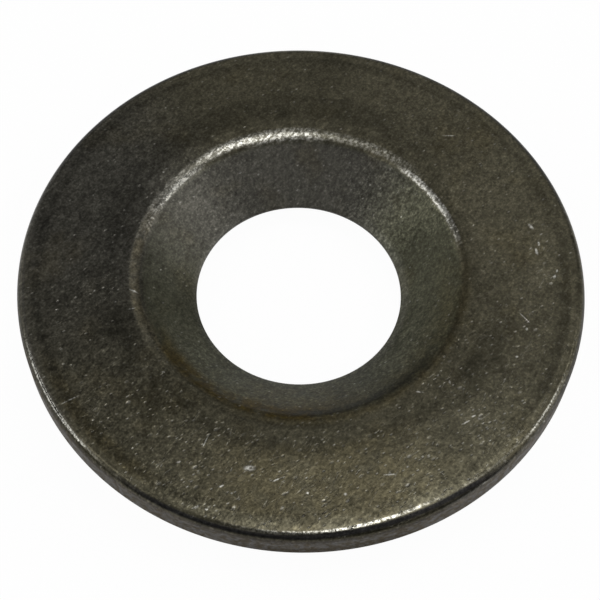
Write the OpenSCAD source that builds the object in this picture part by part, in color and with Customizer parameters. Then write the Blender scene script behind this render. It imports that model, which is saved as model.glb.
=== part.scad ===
// Pressed countersunk washer: a flat round flange, drawn down into a conical dish with a hole pierced in it.
// It is one piece of sheet, so the whole part is one section turned about the Z axis.
// It stands on the lower edge of its dish, with the open side of the dish up.

/* [Sheet] */
// Thickness of the sheet
sheet_t = 2; // [1.5:0.1:2.5]

/* [Flange] */
// Outside diameter of the flange
flange_d = 30; // [27:0.5:40]
// Radial width of the rolled-over band along the flange's upper edge
roll_w = 1.1; // [0.8:0.05:1.6]
// Slope of that band
roll_angle = 4; // [2:0.5:8]
// Radius that blends the band into the flat of the flange
roll_r = 6; // [2:0.5:8]
// Radius of the flange's upper outer edge
rim_r = 0.5; // [0.2:0.05:0.6]
// Radius of the flange's lower outer edge
rim_foot_r = 0.3; // [0.1:0.05:0.5]

/* [Dish] */
// Diameter at which the line of the cone meets the plane of the flange
dish_d = 17.6; // [16.4:0.2:20]
// Slope of the cone below the flange
cone_angle = 38; // [34:1:44]
// Radial width of the drawn-down band around the dish, from the line of the cone
draw_w = 1.2; // [1.1:0.1:2]
// Slope of that band
draw_angle = 6; // [4:0.5:8]
// Radius that blends the band into the flat of the flange
draw_r = 13; // [4:1:14]
// Radius of the shoulder between the band and the cone
shoulder_r = 1.5; // [0.5:0.1:1.7]
// Radius in the hollow corner under the shoulder
crease_r = 0.6; // [0.2:0.1:1.5]

/* [Hole] */
// Diameter of the hole
hole_d = 11.1; // [8:0.1:12]
// Height of the straight land at the top of the hole
land_h = 0.15; // [0.1:0.05:0.6]
// Radius of the dish's lower edge, on which the washer stands
foot_r = 0.2; // [0.1:0.05:0.5]

/* [Hidden] */
$fn = 180;

// How far a round runs into the two lines that it joins, so that they cross and never only touch
graze = 0.0002;
// How far the blank of a round reaches past its corner
spill = 0.05;

hole_r = hole_d / 2;
dish_r = dish_d / 2;
flange_r = flange_d / 2;

// Directions in the section, which has the radius as its first axis and the height as its second
up_the_cone = [cos(cone_angle), sin(cone_angle)];
through_the_cone = [sin(cone_angle), -cos(cone_angle)];

// Corners of the section before they are rounded, with the flange's top at height 0
lip = [hole_r, (hole_r - dish_r) * tan(cone_angle)];
land_foot = lip - [0, land_h];
foot = land_foot + through_the_cone * (sheet_t - land_h * cos(cone_angle));
crease = foot + up_the_cone * (-sheet_t - foot[1]) / sin(cone_angle);
rim_foot = [flange_r, -sheet_t];
rim = [flange_r, -roll_w * tan(roll_angle)];
roll_start = [flange_r - roll_w, 0];
draw_start = [dish_r + draw_w, 0];
shoulder_in = draw_w * tan(draw_angle) / (tan(cone_angle) - tan(draw_angle));
shoulder = [dish_r - shoulder_in, -shoulder_in * tan(cone_angle)];

// The outline, corner by corner, each with the radius of its round
outline = [
    [lip, 0],
    [land_foot, 0],
    [foot, foot_r],
    [crease, crease_r],
    [rim_foot, rim_foot_r],
    [rim, rim_r],
    [roll_start, roll_r],
    [draw_start, draw_r],
    [shoulder, shoulder_r],
];
count = len(outline);

// Directions from a corner to the corners before and after it
function unit(v) = v / norm(v);
function back(i) = unit(outline[(i + count - 1) % count][0] - outline[i][0]);
function ahead(i) = unit(outline[(i + 1) % count][0] - outline[i][0]);

// Half of a corner's angle, the centre of its round, and whether material lies outside the corner
function half_angle(i) = acos(back(i) * ahead(i)) / 2;
function inset(i) = outline[i][1] - graze;
function centre(i) = outline[i][0] + unit(back(i) + ahead(i)) * inset(i) / sin(half_angle(i));
function is_hollow(i) = cross(ahead(i), back(i)) < 0;

// Corners to round, outward ones and hollow ones
rounded = [for (i = [0:count - 1]) if (outline[i][1] > 0) i];
outward = [for (i = rounded) if (!is_hollow(i)) i];
hollow = [for (i = rounded) if (is_hollow(i)) i];

// Height of the flange's top above the lowest point of the dish
foot_index = 2;
flange_top = foot_r - centre(foot_index)[1];

// The piece between a corner and its round
module corner_piece(i) {
    corner = outline[i][0];
    reach = inset(i) / tan(half_angle(i));
    difference() {
        polygon([
            corner - unit(back(i) + ahead(i)) * spill,
            corner + back(i) * reach,
            centre(i),
            corner + ahead(i) * reach,
        ]);
        translate(centre(i)) circle(r = outline[i][1]);
    }
}

// Half section of the washer
module section() {
    difference() {
        union() {
            polygon([for (corner = outline) corner[0]]);
            for (i = hollow) corner_piece(i);
        }
        for (i = outward) corner_piece(i);
    }
}

module washer() {
    color([0.29, 0.28, 0.25])
        translate([0, 0, flange_top])
            rotate_extrude() section();
}

washer();
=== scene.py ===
# Pressed countersunk washer in dark tumbled steel, on a pale floor.
import math

import bpy
import numpy as np
from mathutils import Matrix, Vector


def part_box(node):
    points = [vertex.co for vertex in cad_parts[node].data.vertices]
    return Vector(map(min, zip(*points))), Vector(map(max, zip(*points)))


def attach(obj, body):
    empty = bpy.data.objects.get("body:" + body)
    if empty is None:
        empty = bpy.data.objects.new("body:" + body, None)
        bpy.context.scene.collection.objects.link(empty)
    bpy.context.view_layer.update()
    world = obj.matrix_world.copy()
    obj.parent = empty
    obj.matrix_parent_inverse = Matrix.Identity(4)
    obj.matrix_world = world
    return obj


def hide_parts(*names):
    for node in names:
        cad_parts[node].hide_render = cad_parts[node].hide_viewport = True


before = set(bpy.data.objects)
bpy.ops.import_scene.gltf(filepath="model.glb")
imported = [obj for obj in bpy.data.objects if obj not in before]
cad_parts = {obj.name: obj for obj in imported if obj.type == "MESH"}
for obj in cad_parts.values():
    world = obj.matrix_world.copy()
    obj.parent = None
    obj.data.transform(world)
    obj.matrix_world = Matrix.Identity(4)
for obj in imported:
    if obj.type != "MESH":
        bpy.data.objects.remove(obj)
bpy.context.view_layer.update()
mm = 0.001  # the scene is in metres

nodeLow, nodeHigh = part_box("washer")
flangeTop = nodeHigh.z
flangeRadius = (nodeHigh.x - nodeLow.x) / 2

# The section of the sheet, in the sizes of the solid that it stands for
washer = {
    "sheet": 2.0 * mm,
    "holeRadius": 5.55 * mm,
    "dishRadius": 8.8 * mm,      # where the cone's line meets the flange's plane
    "coneSlope": math.radians(38),
    "drawWidth": 1.2 * mm,       # drawn-down band around the dish
    "drawSlope": math.radians(6),
    "rollWidth": 1.1 * mm,       # rolled-over band along the rim
    "rollSlope": math.radians(4),
    "landHeight": 0.15 * mm,     # straight land at the top of the hole
    "drawRound": 13.0 * mm,
    "shoulderRound": 1.5 * mm,
    "creaseRound": 0.6 * mm,
    "rollRound": 6.0 * mm,
    "rimRound": 0.5 * mm,
    "rimFootRound": 0.3 * mm,
    "footRound": 0.2 * mm,
    "lipRound": 0.05 * mm,       # edges that the press leaves nearly sharp
    "dishShift": (-0.12 * mm, 0.04 * mm),  # the press was not quite on centre
    "shiftFade": (9.6 * mm, 13.0 * mm),    # radii between which that shift dies out
    "around": 540,               # steps round the axis
}


def unit(v):
    return v / np.linalg.norm(v)


# Corners of the half section before rounding, from the lip of the hole down, out and back along the top.
# Each is a place (radius, height from the flange's top), the radius of its round, and the steps along
# that round and along the line after it, close where the finish changes quickly.
def sectionCorners(w):
    slopeUp = np.array([math.cos(w["coneSlope"]), math.sin(w["coneSlope"])])
    slopeThrough = np.array([math.sin(w["coneSlope"]), -math.cos(w["coneSlope"])])
    coneTan, drawTan = math.tan(w["coneSlope"]), math.tan(w["drawSlope"])
    lip = np.array([w["holeRadius"], (w["holeRadius"] - w["dishRadius"]) * coneTan])
    landFoot = lip - [0, w["landHeight"]]
    foot = landFoot + slopeThrough * (w["sheet"] - w["landHeight"] * math.cos(w["coneSlope"]))
    crease = foot + slopeUp * (-w["sheet"] - foot[1]) / math.sin(w["coneSlope"])
    shoulderIn = w["drawWidth"] * drawTan / (coneTan - drawTan)
    return [
        (lip, w["lipRound"], 3, 1),
        (landFoot, w["lipRound"], 3, 4),
        (foot, w["footRound"], 8, 6),
        (crease, w["creaseRound"], 8, 8),
        (np.array([flangeRadius, -w["sheet"]]), w["rimFootRound"], 10, 6),
        (np.array([flangeRadius, -w["rollWidth"] * math.tan(w["rollSlope"])]), w["rimRound"], 24, 14),
        (np.array([flangeRadius - w["rollWidth"], 0.0]), w["rollRound"], 8, 18),
        (np.array([w["dishRadius"] + w["drawWidth"], 0.0]), w["drawRound"], 14, 4),
        (np.array([w["dishRadius"] - shoulderIn, -shoulderIn * coneTan]), w["shoulderRound"], 16, 22),
    ]


# Round at a corner: centre = corner + bisector * round / sin(half angle),
# and it touches the two lines round / tan(half angle) from the corner
def cornerArc(before, corner, after, radius, steps):
    back, ahead = unit(before - corner), unit(after - corner)
    half = math.acos(back @ ahead) / 2
    centre = corner + unit(back + ahead) * radius / math.sin(half)
    first = corner + back * radius / math.tan(half) - centre
    turn = math.pi - 2 * half
    if back[0] * ahead[1] - back[1] * ahead[0] > 0:
        turn = -turn
    angles = math.atan2(first[1], first[0]) + turn * np.linspace(0, 1, steps + 1)
    return centre + radius * np.stack([np.cos(angles), np.sin(angles)], axis=1)


# The closed half section: the rounds in turn, with even steps along the straight stretches between them
def sectionLine(w):
    corners = sectionCorners(w)
    count = len(corners)
    arcs = [
        cornerArc(corners[i - 1][0], corner, corners[(i + 1) % count][0], radius, roundSteps)
        for i, (corner, radius, roundSteps, lineSteps) in enumerate(corners)
    ]
    runs = []
    for i, arc in enumerate(arcs):
        start, end = arc[-1], arcs[(i + 1) % count][0]
        along = np.linspace(0, 1, corners[i][3] + 1)[1:-1, None]
        runs += [arc, start + (end - start) * along]
    return np.concatenate(runs)


# Smooth step from 0 at the first edge to 1 at the second: 3t^2 - 2t^3
def smoothStep(first, second, x):
    t = np.clip((x - first) / (second - first), 0, 1)
    return t * t * (3 - 2 * t)


# Turned surface: point(turn, s) = (radius(s) * cos turn, radius(s) * sin turn, height(s)),
# moved by shift * fade(radius(s)) in the plane of the flange
def turnedGrid(line, w):
    turn = np.arange(w["around"]) * 2 * math.pi / w["around"]
    radius, height = line[:, 0], line[:, 1] + flangeTop
    fade = smoothStep(w["shiftFade"][1], w["shiftFade"][0], radius)
    x = np.outer(np.cos(turn), radius) + w["dishShift"][0] * fade
    y = np.outer(np.sin(turn), radius) + w["dishShift"][1] * fade
    z = np.broadcast_to(height, x.shape)
    return np.stack([x, y, z], axis=2)


# Closed in both directions: quad (i, j) joins its neighbours at i + 1 and j + 1, wrapping round
def meshFromGrid(name, grid):
    rows, columns = grid.shape[:2]
    index = np.arange(rows * columns).reshape(rows, columns)
    nextRow, nextColumn = np.roll(index, -1, axis=0), np.roll(index, -1, axis=1)
    both = np.roll(nextRow, -1, axis=1)
    quads = np.stack([index, nextColumn, both, nextRow], axis=2).reshape(-1, 4)[:, ::-1]
    mesh = bpy.data.meshes.new(name)
    mesh.from_pydata(grid.reshape(-1, 3), [], quads)
    mesh.update()
    mesh.polygons.foreach_set("use_smooth", np.ones(len(mesh.polygons), dtype=bool))
    piece = bpy.data.objects.new(name, mesh)
    bpy.context.scene.collection.objects.link(piece)
    return piece


sectionPoints = sectionLine(washer)
washerPiece = meshFromGrid("pressedWasher", turnedGrid(sectionPoints, washer))
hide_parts("washer")
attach(washerPiece, "root")
print("washer surface", len(sectionPoints), "by", washer["around"], "points")


# Wear, stains, painted highlights and painted shade by place. Lengths are in millimetres, and turns in
# degrees from +X towards +Y, the far side.
# The lists from the rim's bare metal to "coarse" hold bands: an amount, the turns where it starts, is full,
# starts to fade and ends, and where it lies across the section, as four such radii on the top or as the name
# of a zone.
allRound = ()
wearAndPaintedLight = {
    # place on the top, half length, half width and angle
    "nicks": [
        (-2.25, -11.38, 0.34, 0.19, 0), (-3.57, -12.36, 0.16, 0.07, 20), (-3.06, -12.71, 0.08, 0.06, 0),
        (-4.71, -13.47, 0.16, 0.09, 30), (-4.22, -13.56, 0.10, 0.08, 0), (-5.74, -11.18, 0.16, 0.06, 25),
        (-6.85, -6.26, 0.10, 0.06, 0), (-10.79, -1.71, 0.10, 0.05, 60), (-9.64, -2.31, 0.10, 0.05, 60),
        (12.48, 1.55, 0.10, 0.25, 10), (13.36, 0.04, 0.08, 0.16, -20), (12.26, 3.12, 0.11, 0.22, 40),
        (7.66, -6.34, 0.06, 0.14, 10), (6.14, -6.93, 0.26, 0.05, -6), (8.82, -8.20, 0.14, 0.06, 25),
        (11.13, -4.80, 0.09, 0.08, 0), (11.72, -3.16, 0.08, 0.10, 0), (2.46, -12.57, 0.10, 0.08, 0),
        (0.62, -12.58, 0.09, 0.08, 0), (8.00, 8.96, 0.42, 0.04, 2), (11.65, -2.51, 0.45, 0.04, -49),
        (-11.40, -8.01, 0.55, 0.05, 30), (4.60, -11.48, 0.34, 0.05, 6), (-4.48, -10.04, 0.36, 0.04, 70),
        (8.41, -8.57, 0.28, 0.05, 30), (-0.93, -11.96, 0.24, 0.05, 27), (-7.76, 5.95, 0.08, 0.06, 0),
        (12.15, 8.52, 0.40, 0.14, 125), (-8.74, -1.56, 0.32, 0.07, -18), (-8.78, -2.65, 0.22, 0.05, 18),
        (12.62, 2.05, 0.08, 0.15, 0), (13.50, 0.38, 0.06, 0.13, -20),
    ],
    # places where flecks stand close together, with the radius of each
    "clusters": [
        (-2.2, -11.4, 0.6), (-3.3, -12.4, 0.9), (-4.6, -10.5, 1.0), (-5.9, -11.2, 0.9), (-8.5, -8.2, 1.0),
        (0.9, -12.9, 0.8), (2.5, -12.6, 0.7), (4.7, -11.4, 0.8), (6.1, -10.8, 1.0), (8.9, -8.2, 0.9),
        (10.4, -6.5, 0.8), (7.2, -6.1, 0.8), (11.8, -3.1, 0.7), (13.2, -0.1, 0.6), (12.5, 1.6, 0.6),
        (12.3, 3.2, 0.5), (-10.6, -1.7, 0.8), (-4.2, -13.8, 0.7),
    ],
    "clusterFleck": 0.6,         # share of flecks that each adds
    "leastFleck": 0.14,
    # soft patches by place, radius and how much lighter each is, or darker below 0
    "patches": [
        (12.4, 2.2, 1.6, 0.25), (9.4, 2.2, 1.1, 0.28), (8.4, 4.7, 0.9, 0.22), (10.9, 5.6, 1.3, 0.18),
        (6.0, -12.2, 1.1, 0.22), (0.3, -11.9, 1.0, 0.18), (-3.3, -12.1, 1.0, 0.12), (-5.3, -10.9, 0.9, 0.14),
        (-13.2, 0.0, 1.2, 0.30), (-12.9, 5.3, 1.0, 0.22), (-6.8, -7.4, 1.4, -0.32), (6.0, -9.0, 1.2, -0.20),
        (-9.7, -3.7, 1.2, -0.28), (9.5, -5.7, 1.3, -0.20), (12.2, -6.1, 1.0, -0.16), (1.1, 13.6, 1.4, -0.20),
        (-6.3, 4.5, 0.9, 0.28), (4.8, -4.5, 0.9, 0.24), (-2.5, 7.1, 0.9, 0.22), (-5.4, -4.4, 1.0, 0.22),
        (-8.0, 1.1, 0.8, -0.24), (6.1, 2.3, 1.0, -0.24), (6.8, 4.4, 0.8, 0.22), (0.2, -11.3, 1.1, 0.14),
        (12.6, 0.1, 1.0, 0.14), (3.6, 5.6, 1.0, -0.12), (-1.7, -11.8, 1.1, 0.10), (6.1, -10.7, 1.1, 0.14),
        (8.1, -9.0, 1.0, -0.10),
    ],
    # rubs along the shoulder, both wear and a painted highlight, kept to the far side where the light
    # catches the shoulder: strength, turns, radius and half width
    "shoulder": [
        (1.50, (10, 29, 43, 56), 8.64, 0.21), (0.34, (40, 58, 78, 94), 8.88, 0.36),
        (0.86, (77, 93, 104, 116), 8.78, 0.36), (0.86, (96, 107, 119, 140), 8.93, 0.33),
        (0.80, (127, 139, 145, 171), 8.70, 0.20), (0.22, (125, 140, 150, 174), 8.96, 0.25),
        (0.46, (80, 94, 116, 132), 9.08, 0.26),
    ],
    # shifts of the rim's turn across the section, with their turns
    "edgeShifts": [(0.12, (262, 298, 302, 313)), (-0.05, (228, 242, 266, 282))],
    # bare metal along the rim, both wear and a painted highlight, kept to the turns where the light catches
    # the rim
    "rim": [
        (0.72, (254, 273, 285, 302), "nearRubAndHighlight"), (0.28, (274, 288, 285, 302), "nearRubAndHighlight"),
        (1.20, (195, 206, 219, 231), (14.67, 14.73, 14.79, 14.85)),
        (0.80, (200, 208, 215, 222), (14.66, 14.72, 14.81, 14.88)),
        (0.65, (318, 325, 330, 339), (14.61, 14.67, 14.73, 14.79)),
        (0.17, (302, 307, 318, 324), "edgeSpots"),
    ],
    # painted shade: a dark colour on the turn of the rim into its wall, standing in for the dark reflection
    # below the rim's highlight
    "edge": [
        (0.12, (180, 220, 330, 360), "edgeTurn"), (0.88, (226, 244, 306, 318), "edgeTurn"),
        (0.75, (8, 30, 74, 88), "edgeTurn"), (0.85, (94, 108, 146, 178), "edgeTurn"),
        (0.50, (168, 184, 214, 234), (14.52, 14.58, 14.67, 14.73)),
    ],
    # the sheared wall, and painted shade that darkens it towards the bottom of its near side, standing in
    # for the floor's shadow seen in it
    "wall": [(1.00, allRound, "wall"), (1.10, (256, 268, 286, 298), "wallFootShade")],
    "brown": [
        (1.00, (195, 225, 262, 290), (7.4, 8.1, 8.4, 8.8)),
        (0.30, (235, 260, 345, 385), (6.4, 8.1, 8.7, 9.2)),
        (0.25, (238, 256, 284, 300), (5.7, 6.2, 7.6, 8.1)),
        (0.22, (240, 262, 292, 312), (9.8, 10.5, 13.6, 14.2)),
        (0.30, (148, 165, 195, 212), (8.5, 8.65, 8.95, 9.2)),
        (0.28, (198, 212, 232, 246), (13.4, 13.8, 14.2, 14.5)),
    ],
    # painted shade in darker bands, and painted light in lighter ones below 0, from the hole out, following
    # the dark and bright rings of the reflections
    "paintedShadeLightAndPatches": [
        (-0.15, (195, 208, 245, 262), (5.9, 6.3, 7.6, 8.0)),
        (-0.15, (288, 299, 336, 352), (5.9, 6.3, 7.6, 8.0)),
        (-0.18, (220, 234, 272, 290), (6.2, 6.8, 7.7, 7.95)),
        (-0.14, (220, 233, 250, 264), (7.5, 7.7, 8.2, 8.4)),
        (0.38, (255, 275, 315, 335), (7.75, 8.0, 8.3, 8.55)),
        (0.14, allRound, (8.0, 8.2, 8.4, 8.6)),
        (-0.14, (70, 85, 120, 135), (8.0, 8.2, 8.4, 8.6)),
        (0.15, (172, 190, 215, 235), (8.33, 8.45, 8.6, 8.7)),
        (0.22, (218, 234, 265, 278), (8.38, 8.5, 8.65, 8.75)),
        (-0.24, (276, 300, 350, 375), (8.5, 8.7, 9.05, 9.25)),
        (-0.42, (156, 172, 186, 208), (8.70, 8.84, 9.02, 9.16)),
        (0.25, (225, 242, 275, 290), (8.8, 8.92, 9.12, 9.25)),
        (-0.16, (255, 270, 335, 350), (9.0, 9.3, 9.7, 10.0)),
        (0.36, (140, 165, 205, 230), (9.0, 9.25, 9.8, 11.2)),
        (0.12, (35, 60, 170, 200), (9.05, 9.25, 9.45, 9.7)),
        (-0.13, (345, 372, 398, 412), (9.1, 9.4, 10.4, 10.9)),
        (0.07, (315, 325, 335, 345), (9.2, 9.5, 10.5, 11.0)),
        (0.24, (40, 75, 150, 190), (9.6, 10.2, 10.9, 11.9)),
        (0.26, (300, 322, 338, 356), (9.8, 10.2, 10.9, 11.7)),
        (0.10, (232, 250, 305, 320), (9.9, 10.2, 10.6, 11.2)),
        (-0.09, (340, 356, 392, 408), (10.4, 10.9, 13.5, 14.0)),
        (0.07, (70, 82, 98, 112), (10.8, 11.2, 13.4, 13.8)),
        (0.24, allRound, (13.6, 13.9, 14.05, 14.3)),
        (-0.12, (240, 265, 305, 335), (13.6, 13.9, 14.05, 14.3)),
        (0.10, (286, 296, 308, 320), (13.70, 13.95, 14.50, 14.60)),
        (0.09, (252, 270, 306, 320), (13.75, 13.95, 14.30, 14.45)),
        (-0.18, (200, 225, 355, 372), (14.15, 14.3, 14.45, 14.58)),
        (-0.20, (95, 125, 190, 206), (14.38, 14.46, 14.54, 14.60)),
        (0.25, (334, 342, 352, 362), (14.70, 14.76, 14.86, 14.92)),
        (-0.75, (296, 304, 322, 336), "upperWall"),
        (-0.40, (228, 236, 248, 262), "upperWall"),
    ],
    "grey": [
        (1.00, (30, 70, 140, 200), "dish"), (0.90, (115, 150, 170, 235), "flange"),
        (1.00, (294, 304, 344, 362), "rimTurn"),
    ],
    # flecks stand thicker on the near and right side of the flange: more dents there, and more painted
    # glints
    "fleck": [(0.40, (180, 262, 290, 395), "outsideDish")],
    # contrast of the grain
    "coarse": [
        (1.05, allRound, "whole"), (0.15, (15, 30, 60, 75), "whole"),
        (0.30, (110, 140, 200, 240), "flange"), (0.35, (200, 216, 240, 260), "flange"),
        (0.50, (18, 34, 62, 80), "dish"), (0.25, (105, 122, 150, 168), "dish"),
        (0.40, (200, 220, 330, 350), "dish"), (0.50, (230, 250, 310, 330), (13.4, 13.8, 14.4, 14.6)),
    ],
    # edges of the zones: where each starts and is full, and for some where it starts to fade and ends
    "dishRadii": (8.6, 8.3),
    "fleckRadii": (8.6, 10.5),
    # the lip is lighter only on its left and right sides, a painted highlight
    "lipRadii": (6.0, 5.62),
    "lipHighlightSides": (0.3, 0.9),      # cosine of the turn, to the left or right of the hole
    "shoulderFull": 0.3,         # share of a rub's half width
    "nearRubHighlightRadius": 14.645,
    "nearRubHighlightIn": 0.25,           # how far it runs in towards the right
    "nearRubHighlightTurns": (262, 300),
    "nearRubHighlightAcross": (-0.11, -0.03, 0.03, 0.10),
    "edgeSpotRadii": (14.50, 14.56, 14.62, 14.67),
    "edgeTurnRadii": (14.62, 14.72, 14.86, 14.95),
    "rimTurnRadii": (14.78, 14.88),
    "wallRadii": (14.84, 14.93),
    "wallDrop": (-0.22, -0.40),  # below the flange's plane
    "wallFootShadeDrop": (-0.9, -1.5),
    "upperWallRadii": (14.84, 14.90),
    "upperWallDrop": (-0.66, -0.42),
}


# 1 between the inner two values and 0 outside the outer two:
# smooth step from start to full, times smooth step from end to fade
def between(value, start, full, fade, end):
    return smoothStep(start, full, value) * smoothStep(end, fade, value)


# Shares of each point in the parts of the surface that wore, were cut, were stained, or carry painted
# highlights and painted shade:
# each sums amount * share of the turn * share across the section
def surfaceShares(piece, w):
    places = np.empty(len(piece.data.vertices) * 3)
    piece.data.vertices.foreach_get("co", places)
    x, y, z = places.reshape(-1, 3).T / mm
    radius, turn = np.hypot(x, y), np.degrees(np.arctan2(y, x)) % 360
    drop = z - flangeTop / mm
    coneLine = (radius - washer["dishRadius"] / mm) * math.tan(washer["coneSlope"])
    sheetMiddle = np.minimum(0, coneLine) - washer["sheet"] / mm / 2
    top = (drop > sheetMiddle).astype(float)

    # turns are counted from the middle of their window, which may cross 0
    def around(turns):
        if turns == allRound:
            return 1.0
        middle = (turns[0] + turns[3]) / 2
        return between((turn - middle + 180) % 360 - 180 + middle, *turns)

    def bands(name):
        total = np.zeros_like(radius)
        for amount, turns, where in w[name]:
            across = zones[where] if where in zones else between(radius, *where) * top
            total = total + amount * around(turns) * across
        return total

    def bell(bellX, bellY, size):
        return np.exp(-((x - bellX) ** 2 + (y - bellY) ** 2) / size ** 2)

    dish = smoothStep(*w["dishRadii"], radius)
    wall = smoothStep(*w["wallRadii"], radius) * smoothStep(*w["wallDrop"], drop)
    nearMiddle = w["nearRubHighlightRadius"] - w["nearRubHighlightIn"] * smoothStep(*w["nearRubHighlightTurns"], turn)
    outward = radius + sum(shift * around(turns) for shift, turns in w["edgeShifts"])
    start, full, fade, end = w["edgeTurnRadii"]
    edgeTurn = smoothStep(start, full, outward) * smoothStep(end, fade, np.maximum(outward, radius))
    zones = {
        "whole": np.ones_like(radius),
        "dish": dish,
        "flange": 1 - dish,
        "outsideDish": smoothStep(*w["fleckRadii"], radius),
        "nearRubAndHighlight": between(radius - nearMiddle, *w["nearRubHighlightAcross"]),
        "edgeSpots": between(outward, *w["edgeSpotRadii"]) * top,
        "edgeTurn": edgeTurn * top,
        "rimTurn": smoothStep(*w["rimTurnRadii"], radius),
        "upperWall": smoothStep(*w["upperWallRadii"], radius) * smoothStep(*w["upperWallDrop"], drop),
        "wall": wall,
        "wallFootShade": wall * smoothStep(*w["wallFootShadeDrop"], drop),
    }
    shoulder = np.zeros_like(radius)
    for strength, turns, middle, width in w["shoulder"]:
        flat = w["shoulderFull"] * width
        across = between(radius - middle, -width, -flat, flat, width) * top
        shoulder = np.maximum(shoulder, strength * around(turns) * across)
    highlightSides = smoothStep(*w["lipHighlightSides"], np.abs(np.cos(np.radians(turn))))
    lighter = sum(amount * bell(*place) for *place, amount in w["patches"])
    clustered = sum(w["clusterFleck"] * bell(*cluster) for cluster in w["clusters"])
    return {
        "shoulder": shoulder,
        "dish": dish,
        "rim": bands("rim"),
        "edge": bands("edge"),
        "wall": bands("wall"),
        "brown": bands("brown"),
        # painted shade and painted light from the bands, less the soft patches
        "paintedShadeLightAndPatches": bands("paintedShadeLightAndPatches") - lighter,
        "grey": bands("grey"),
        # a painted highlight on the hole's lip, on its left and right sides only
        "lip": smoothStep(*w["lipRadii"], radius) * top * highlightSides,
        "fleck": np.minimum(w["leastFleck"] + bands("fleck") + clustered, 1),
        "coarse": bands("coarse"),
    }


shares = surfaceShares(washerPiece, wearAndPaintedLight)
for shareName, shareValues in shares.items():
    layer = washerPiece.data.attributes.new(shareName, "FLOAT", "POINT")
    layer.data.foreach_set("value", shareValues.astype(np.float32))
print("worn and cut parts marked")


# A setting is a property of the node, or else the value of the input of that name
def addNode(tree, kind, **settings):
    node = tree.nodes.new(kind)
    for key, value in settings.items():
        if hasattr(node, key):
            setattr(node, key, value)
        else:
            node.inputs[key.replace("_", " ")].default_value = value
    return node


# A socket is linked, and a number or colour is set
def feed(tree, socket, value):
    if isinstance(value, bpy.types.NodeSocket):
        tree.links.new(value, socket)
    elif value is not None:
        socket.default_value = value


def mathNode(tree, operation, a, b=None):
    node = addNode(tree, "ShaderNodeMath", operation=operation)
    feed(tree, node.inputs[0], a)
    feed(tree, node.inputs[1], b)
    return node.outputs[0]


def add(tree, a, b):
    return mathNode(tree, "ADD", a, b)


def less(tree, a, b):
    return mathNode(tree, "SUBTRACT", a, b)


def times(tree, a, b):
    return mathNode(tree, "MULTIPLY", a, b)


def larger(tree, a, b):
    return mathNode(tree, "MAXIMUM", a, b)


# Runs from 0 at low to 1 at high, smoothed at both ends
def ramp(tree, value, low, high):
    node = addNode(tree, "ShaderNodeMapRange", interpolation_type="SMOOTHSTEP", From_Min=low, From_Max=high)
    feed(tree, node.inputs["Value"], value)
    return node.outputs["Result"]


def mixColour(tree, share, first, second):
    node = addNode(tree, "ShaderNodeMix", data_type="RGBA")
    feed(tree, node.inputs["Factor"], share)
    feed(tree, node.inputs[6], first)
    feed(tree, node.inputs[7], second)
    return node.outputs[2]


def noise(tree, place, scale, detail, roughness=0.5):
    node = addNode(tree, "ShaderNodeTexNoise", Scale=scale, Detail=detail, Roughness=roughness)
    tree.links.new(place, node.inputs["Vector"])
    return node.outputs[0]


# Places turned about the washer's axis, or about a centre, then measured in a size along each direction
def turned(tree, place, angle, size, centre=(0, 0, 0)):
    node = addNode(tree, "ShaderNodeMapping", vector_type="TEXTURE", Location=centre, Scale=size)
    node.inputs["Rotation"].default_value = (0, 0, math.radians(angle))
    tree.links.new(place, node.inputs["Vector"])
    return node.outputs[0]


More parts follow.
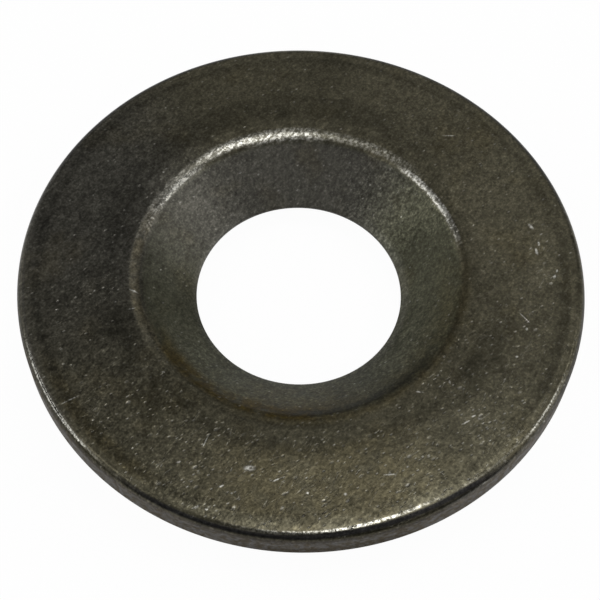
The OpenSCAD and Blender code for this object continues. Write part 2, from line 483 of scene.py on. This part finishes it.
# A pair is where something starts and where it is full, apart from sparkle and patchTone
steel = {
    "flange": (0.073, 0.0672, 0.0456, 1),
    "dish": (0.073, 0.073, 0.050, 1),
    "grey": (0.074, 0.071, 0.060, 1),
    "brown": (0.064, 0.047, 0.013, 1),
    "wornAndHighlight": (0.36, 0.353, 0.318, 1),     # bare metal of the shoulder, rim and glints, rubbed bright; it also paints the highlights on the shoulder, rim and lip
    "edge": (0.024, 0.023, 0.022, 1),    # painted shade on the turn of the rim into its wall
    "cut": (0.063, 0.057, 0.049, 1),     # sheared wall of the rim
    "wallTint": (0.62, 0.58, 0.51, 1),   # least brightness of the sheared wall at a glancing view
    "wallMottle": (0.30, 0.70),
    # scale for each millimetre, detail and roughness of each noise
    "noises": {
        "grain": (8.0, 2.0, 0.6), "mottle": (3.6, 1.0), "swell": (0.9, 2.0), "blotch": (0.42, 3.0),
        "patch": (1.3, 2.0),
    },
    "blotchRange": (0.50, 0.72),
    "blotchBrown": 0.16,                 # most that a blotch is browned
    "stainRange": (0.15, 0.60),
    "dentAngles": (30, 48, 68),
    "dentSize": (0.59, 0.185, 0.5),      # of the cells that hold them, in millimetres
    "dentReach": (0.26, 0.04),           # distance from the cell's point
    "dentChance": (0.84, 0.92),          # random value of a cell that holds one
    "glintAngle": 35,
    "glintSizes": ((0.30, 0.16, 0.22), (0.48, 0.28, 0.37)),
    "glintReach": (0.38, 0.12),
    "glintChances": ((0.86, 1.08), (0.97, 1.19)),
    "glintFleck": 0.2,                   # added to a cell's random value where flecks stand close
    "scratchAngles": (38, 60),
    "scratchSize": (1.1, 0.125, 1.0),
    "scratchReach": (0.016, 0.004),      # distance from the noise's middle value
    "scratchKept": (0.64, 0.70),
    "scratchShare": 0.6,                 # of a dent
    "markFleck": (0.0, 0.7),
    "nickReach": (1.1, 0.3),
    "nickDepth": 0.5,                    # half height of the nicks, in millimetres
    "nickGrain": (0.22, 0.60),
    "strokeAngle": 54,                   # of the fine strokes that show on the shoulder and in the grain
    "strokeSize": (0.42, 0.16, 0.33),
    "strokeNoise": (1.0, 2.0, 0.6),
    "sparkleRange": (0.86, 1.18),
    "sparkle": (0.95, 0.22),             # what the highest grains add to the shoulder's rub and painted highlight, and the least
    "beadRange": (0.30, 0.62),
    # the lip's share is a painted highlight and the glints' partly painted glints; marks and cuts are bare
    # metal
    "bareAndHighlight": {"lip": 0.13, "marks": 0.33, "glints": 0.40, "cuts": 0.95},
    "mottleTone": 0.75,
    "grainTone": 1.30,
    "middleTone": 1.55,                  # of the strokes, mottle and grain together
    "brightGrain": (0.56, 0.84),
    "brightTone": 0.55,
    "patchTone": (0.6, 0.3),             # where flecks stand close, and the least
    "roughness": 0.27,
    "patchRough": 0.12,                  # added by the lightest patch
    "dishRough": 0.08,
    "wallRough": 0.12,                   # added on the rim's turn and the sheared wall
    "shoulderSmooth": 0.02,              # taken off where it is rubbed
    "rimSmooth": 0.14,
    "grainDepth": 0.0048 * mm,
    "swellDepth": 0.014 * mm,
    "strokeRelief": 0.7,                 # shares of the grain's depth
    "markRelief": 2.4,
}


# Marks in a few cells of a stretched pattern, each round its cell's point
def cellMarks(tree, place, angle, size, reach, chance, extra=None):
    cells = addNode(tree, "ShaderNodeTexVoronoi", Scale=1.0)
    tree.links.new(turned(tree, place, angle, size), cells.inputs["Vector"])
    random = addNode(tree, "ShaderNodeSeparateColor")
    tree.links.new(cells.outputs["Color"], random.inputs[0])
    value = random.outputs[0]
    if extra is not None:
        value = add(tree, value, extra)
    held = ramp(tree, value, *chance)
    return times(tree, ramp(tree, cells.outputs["Distance"], *reach), held)


# Dents, and scratches: the thin band where stretched noise passes its middle value, kept in patches only
def dentsAndScratches(tree, place, look, fleck):
    dents = 0.0
    for angle in look["dentAngles"]:
        dent = cellMarks(tree, place, angle, look["dentSize"], look["dentReach"], look["dentChance"])
        dents = larger(tree, dents, dent)
    scratches = 0.0
    for angle in look["scratchAngles"]:
        stretched = turned(tree, place, angle, look["scratchSize"])
        away = mathNode(tree, "ABSOLUTE", less(tree, noise(tree, stretched, 1.0, 1.0), 0.5))
        kept = ramp(tree, noise(tree, stretched, 0.6, 0.0), *look["scratchKept"])
        scratch = times(tree, ramp(tree, away, *look["scratchReach"]), kept)
        scratches = larger(tree, scratches, scratch)
    marks = add(tree, dents, times(tree, scratches, look["scratchShare"]))
    return times(tree, marks, ramp(tree, fleck, *look["markFleck"]))


# Glints: short dents of two sizes, bare metal painted bright as glints standing in for sparkle, in more of
# the cells where flecks stand close
def glintMarks(tree, place, look, fleck):
    glints = 0.0
    for size, chance in zip(look["glintSizes"], look["glintChances"]):
        extra = times(tree, fleck, look["glintFleck"])
        glint = cellMarks(tree, place, look["glintAngle"], size, look["glintReach"], chance, extra)
        glints = larger(tree, glints, glint)
    return glints


# Nicks: ellipses at their own places, broken up by the grain
def nickCuts(tree, place, look, grain):
    cuts = 0.0
    for x, y, length, width, angle in wearAndPaintedLight["nicks"]:
        spot = turned(tree, place, angle, (length, width, look["nickDepth"]), (x, y, flangeTop / mm))
        away = addNode(tree, "ShaderNodeVectorMath", operation="LENGTH")
        tree.links.new(spot, away.inputs[0])
        cuts = larger(tree, cuts, ramp(tree, away.outputs["Value"], *look["nickReach"]))
    return times(tree, cuts, ramp(tree, grain, *look["nickGrain"]))


# Colour: flange and dish, browned in blotches and stains, then bare metal where it is rubbed, cut or dented,
# which also paints the highlights on the shoulder, rim and lip and the glints, then painted shade on the
# rim's turn. The rub and painted highlight on the shoulder show most on the highest strokes and grains, and
# those on the rim as beads.
def steelColour(tree, look, field):
    colour = mixColour(tree, field["dish"], look["flange"], look["dish"])
    colour = mixColour(tree, field["grey"], colour, look["grey"])
    blotched = times(tree, ramp(tree, field["blotch"], *look["blotchRange"]), look["blotchBrown"])
    stained = times(tree, field["brown"], ramp(tree, field["patch"], *look["stainRange"]))
    colour = mixColour(tree, larger(tree, blotched, stained), colour, look["brown"])
    highest, least = look["sparkle"]
    sparkle = ramp(tree, add(tree, field["strokes"], field["grain"]), *look["sparkleRange"])
    sparkle = add(tree, times(tree, sparkle, highest), least)
    beadedHighlight = times(tree, field["rim"], ramp(tree, field["grain"], *look["beadRange"]))
    bareAndHighlight = larger(tree, times(tree, field["shoulder"], sparkle), beadedHighlight)
    for name, share in look["bareAndHighlight"].items():
        bareAndHighlight = larger(tree, bareAndHighlight, times(tree, field[name], share))
    colour = mixColour(tree, bareAndHighlight, colour, look["wornAndHighlight"])
    colour = mixColour(tree, field["edge"], colour, look["edge"])
    return mixColour(tree, field["wall"], colour, look["cut"])


# Tone: (e^((strokes + mottle + grain - middle) * coarse) + brightest grains) * (1 + patches - painted shade
# and light)
def steelTone(tree, look, field):
    grainy = add(tree, field["strokes"], times(tree, field["mottle"], look["mottleTone"]))
    grainy = add(tree, grainy, times(tree, field["grain"], look["grainTone"]))
    grainy = times(tree, less(tree, grainy, look["middleTone"]), field["coarse"])
    bright = times(tree, ramp(tree, field["grain"], *look["brightGrain"]), look["brightTone"])
    speckle = add(tree, mathNode(tree, "EXPONENT", grainy), bright)
    flecked, least = look["patchTone"]
    patchy = add(tree, times(tree, field["fleck"], flecked), least)
    patchy = times(tree, less(tree, field["patch"], 0.5), patchy)
    return times(tree, speckle, less(tree, add(tree, patchy, 1.0), field["paintedShadeLightAndPatches"]))


def steelRoughness(tree, look, field):
    rough = add(tree, times(tree, field["patch"], look["patchRough"]), look["roughness"])
    rough = add(tree, rough, times(tree, field["dish"], look["dishRough"]))
    turnedDown = larger(tree, field["edge"], field["wall"])
    rough = add(tree, rough, times(tree, turnedDown, look["wallRough"]))
    rough = less(tree, rough, times(tree, field["shoulder"], look["shoulderSmooth"]))
    return less(tree, rough, times(tree, field["rim"], look["rimSmooth"]))


# Relief: grain, mottle, swell and strokes stand up, dents, scratches and glints go in
def steelRelief(tree, look, field):
    swelled = times(tree, field["swell"], look["swellDepth"] / look["grainDepth"])
    relief = add(tree, add(tree, field["grain"], field["mottle"]), swelled)
    relief = add(tree, relief, times(tree, field["strokes"], look["strokeRelief"]))
    sunk = times(tree, add(tree, field["marks"], field["glints"]), look["markRelief"])
    bump = addNode(tree, "ShaderNodeBump", Strength=1.0, Distance=look["grainDepth"])
    tree.links.new(less(tree, relief, sunk), bump.inputs["Height"])
    return bump.outputs[0]


def darkSteel(look):
    material = bpy.data.materials.new("darkSteel")
    material.use_nodes = True
    tree = material.node_tree
    shader = tree.nodes["Principled BSDF"]
    shader.inputs["Metallic"].default_value = 1.0
    objectPlace = addNode(tree, "ShaderNodeTexCoord").outputs["Object"]
    place = turned(tree, objectPlace, 0, (mm, mm, mm))  # in millimetres from here on
    field = {
        name: addNode(tree, "ShaderNodeAttribute", attribute_name=name).outputs["Fac"]
        for name in shares
    }
    for name, values in look["noises"].items():
        field[name] = noise(tree, place, *values)
    field["marks"] = dentsAndScratches(tree, place, look, field["fleck"])
    field["glints"] = glintMarks(tree, place, look, field["fleck"])
    field["cuts"] = nickCuts(tree, place, look, field["grain"])
    stroked = turned(tree, place, look["strokeAngle"], look["strokeSize"])
    field["strokes"] = noise(tree, stroked, *look["strokeNoise"])

    shade = addNode(tree, "ShaderNodeVectorMath", operation="SCALE")
    tree.links.new(steelColour(tree, look, field), shade.inputs[0])
    tree.links.new(steelTone(tree, look, field), shade.inputs["Scale"])
    tree.links.new(shade.outputs[0], shader.inputs["Base Color"])
    tree.links.new(steelRoughness(tree, look, field), shader.inputs["Roughness"])
    # the sheared wall reflects less, and its painted shade darkens it further towards the bottom of its near
    # side
    sheared = times(tree, field["wall"], ramp(tree, field["mottle"], *look["wallMottle"]))
    tint = mixColour(tree, sheared, (1, 1, 1, 1), look["wallTint"])
    tree.links.new(tint, shader.inputs["Specular Tint"])
    tree.links.new(steelRelief(tree, look, field), shader.inputs["Normal"])
    return material


washerPiece.data.materials.append(darkSteel(steel))
print("finish made")


# Pale floor: white to the camera, and a plain lit white in the steel's reflections
floorLook = {"size": 8.0, "colour": (0.9, 0.9, 0.9, 1), "cameraShare": 0.97, "glossShare": 0.45}


def paleFloor(look):
    half = look["size"] / 2
    mesh = bpy.data.meshes.new("floor")
    places = [(-half, -half, 0), (half, -half, 0), (half, half, 0), (-half, half, 0)]
    mesh.from_pydata(places, [], [(0, 1, 2, 3)])
    floor = bpy.data.objects.new("floor", mesh)
    bpy.context.scene.collection.objects.link(floor)
    material = bpy.data.materials.new("paleFloor")
    material.use_nodes = True
    tree = material.node_tree
    tree.nodes.clear()
    lit = addNode(tree, "ShaderNodeBsdfDiffuse", Color=look["colour"])
    white = addNode(tree, "ShaderNodeEmission", Strength=1.0)
    rays = addNode(tree, "ShaderNodeLightPath")
    toCamera = times(tree, rays.outputs["Is Camera Ray"], look["cameraShare"])
    mirrored = larger(tree, rays.outputs["Is Glossy Ray"], rays.outputs["Is Transmission Ray"])
    toGloss = times(tree, mirrored, look["glossShare"])
    mix = addNode(tree, "ShaderNodeMixShader")
    out = addNode(tree, "ShaderNodeOutputMaterial")
    tree.links.new(add(tree, toCamera, toGloss), mix.inputs[0])
    tree.links.new(lit.outputs[0], mix.inputs[1])
    tree.links.new(white.outputs[0], mix.inputs[2])
    tree.links.new(mix.outputs[0], out.inputs["Surface"])
    mesh.materials.append(material)


paleFloor(floorLook)

# Soft lights by direction from the washer: azimuth runs from +X towards +Y, the far side
softLights = {
    "overhead": {"azimuth": 45, "elevation": 80, "width": 0.14, "height": 0.14, "radiance": 5.65},
    "right": {"azimuth": 0, "elevation": 46, "width": 0.30, "height": 0.11, "radiance": 3.49},
    "rightLow": {"azimuth": 5, "elevation": 15, "width": 0.30, "height": 0.12, "radiance": 2.64},
    "leftHigh": {"azimuth": 180, "elevation": 60, "width": 0.14, "height": 0.10, "radiance": 3.70},
    "left": {"azimuth": 165, "elevation": 46, "width": 0.30, "height": 0.11, "radiance": 1.73},
    "leftNear": {"azimuth": 205, "elevation": 31, "width": 0.16, "height": 0.11, "radiance": 2.56},
    "leftLow": {"azimuth": 172, "elevation": 17, "width": 0.30, "height": 0.13, "radiance": 1.25},
    "front": {"azimuth": 270, "elevation": 46, "width": 0.50, "height": 0.11, "radiance": 1.45},
    "far": {"azimuth": 75, "elevation": 46, "width": 0.34, "height": 0.11, "radiance": 1.07},
    "farLow": {"azimuth": 75, "elevation": 15, "width": 0.50, "height": 0.12, "radiance": 0.97},
    "farLeftLow": {"azimuth": 130, "elevation": 15, "width": 0.30, "height": 0.12, "radiance": 1.04},
}
lightDistance = 0.4
worldGrey = 0.05


# Power of a flat lamp = radiance * pi * area
def softLight(name, look):
    azimuth, elevation = math.radians(look["azimuth"]), math.radians(look["elevation"])
    flat = math.cos(elevation)
    outward = Vector((math.cos(azimuth) * flat, math.sin(azimuth) * flat, math.sin(elevation)))
    lamp = bpy.data.lights.new(name, "AREA")
    lamp.shape = "RECTANGLE"
    lamp.size, lamp.size_y = look["width"], look["height"]
    lamp.energy = look["radiance"] * math.pi * look["width"] * look["height"]
    holder = bpy.data.objects.new(name, lamp)
    holder.location = Vector((0, 0, flangeTop)) + outward * lightDistance
    holder.rotation_euler = outward.to_track_quat("Z", "Y").to_euler()
    bpy.context.scene.collection.objects.link(holder)


for lightName, lightLook in softLights.items():
    softLight(lightName, lightLook)


# The studio round about: white to the camera, dim in the reflections
def studioWorld(grey):
    world = bpy.data.worlds.new("studio")
    bpy.context.scene.world = world
    world.use_nodes = True
    tree = world.node_tree
    rays = addNode(tree, "ShaderNodeLightPath")
    colour = mixColour(tree, rays.outputs["Is Camera Ray"], (grey, grey, grey, 1), (1, 1, 1, 1))
    tree.links.new(colour, tree.nodes["Background"].inputs["Color"])


studioWorld(worldGrey)
print("floor and lights made")

# Camera from a fit to the rim and the hole: it looks a little under the flange's middle and leans a little
photoCamera = {
    "distance": 75.0 * mm,
    "elevation": math.radians(59.407),
    "pitch": math.radians(-1.2438),
    "yaw": math.radians(-0.0319),
    "lean": math.radians(1.81),
    "focalPixels": 1420.3,
    "framePixels": 600.0,
}


def placeCamera(c):
    cameraData = bpy.data.cameras.new("camera")
    cameraData.sensor_width = 36.0
    cameraData.lens = cameraData.sensor_width * c["focalPixels"] / c["framePixels"]
    cameraData.clip_start, cameraData.clip_end = 1 * mm, 20.0
    back = Vector((0, -math.cos(c["elevation"]), math.sin(c["elevation"])))
    level = Matrix.Rotation(c["pitch"], 3, "X") @ -back
    side = Vector((1, 0, 0))
    look = level * math.cos(c["yaw"]) + side * math.sin(c["yaw"])
    right = side * math.cos(c["yaw"]) - level * math.sin(c["yaw"])
    up = right.cross(look)
    leanRight = right * math.cos(c["lean"]) + up * math.sin(c["lean"])
    leanUp = up * math.cos(c["lean"]) - right * math.sin(c["lean"])
    turn = Matrix((leanRight, leanUp, -look)).transposed()
    camera = bpy.data.objects.new("camera", cameraData)
    place = Vector((0, 0, flangeTop)) + back * c["distance"]
    camera.matrix_world = Matrix.Translation(place) @ turn.to_4x4()
    bpy.context.scene.collection.objects.link(camera)
    bpy.context.scene.camera = camera


placeCamera(photoCamera)
bpy.context.scene.view_settings.view_transform = "Standard"
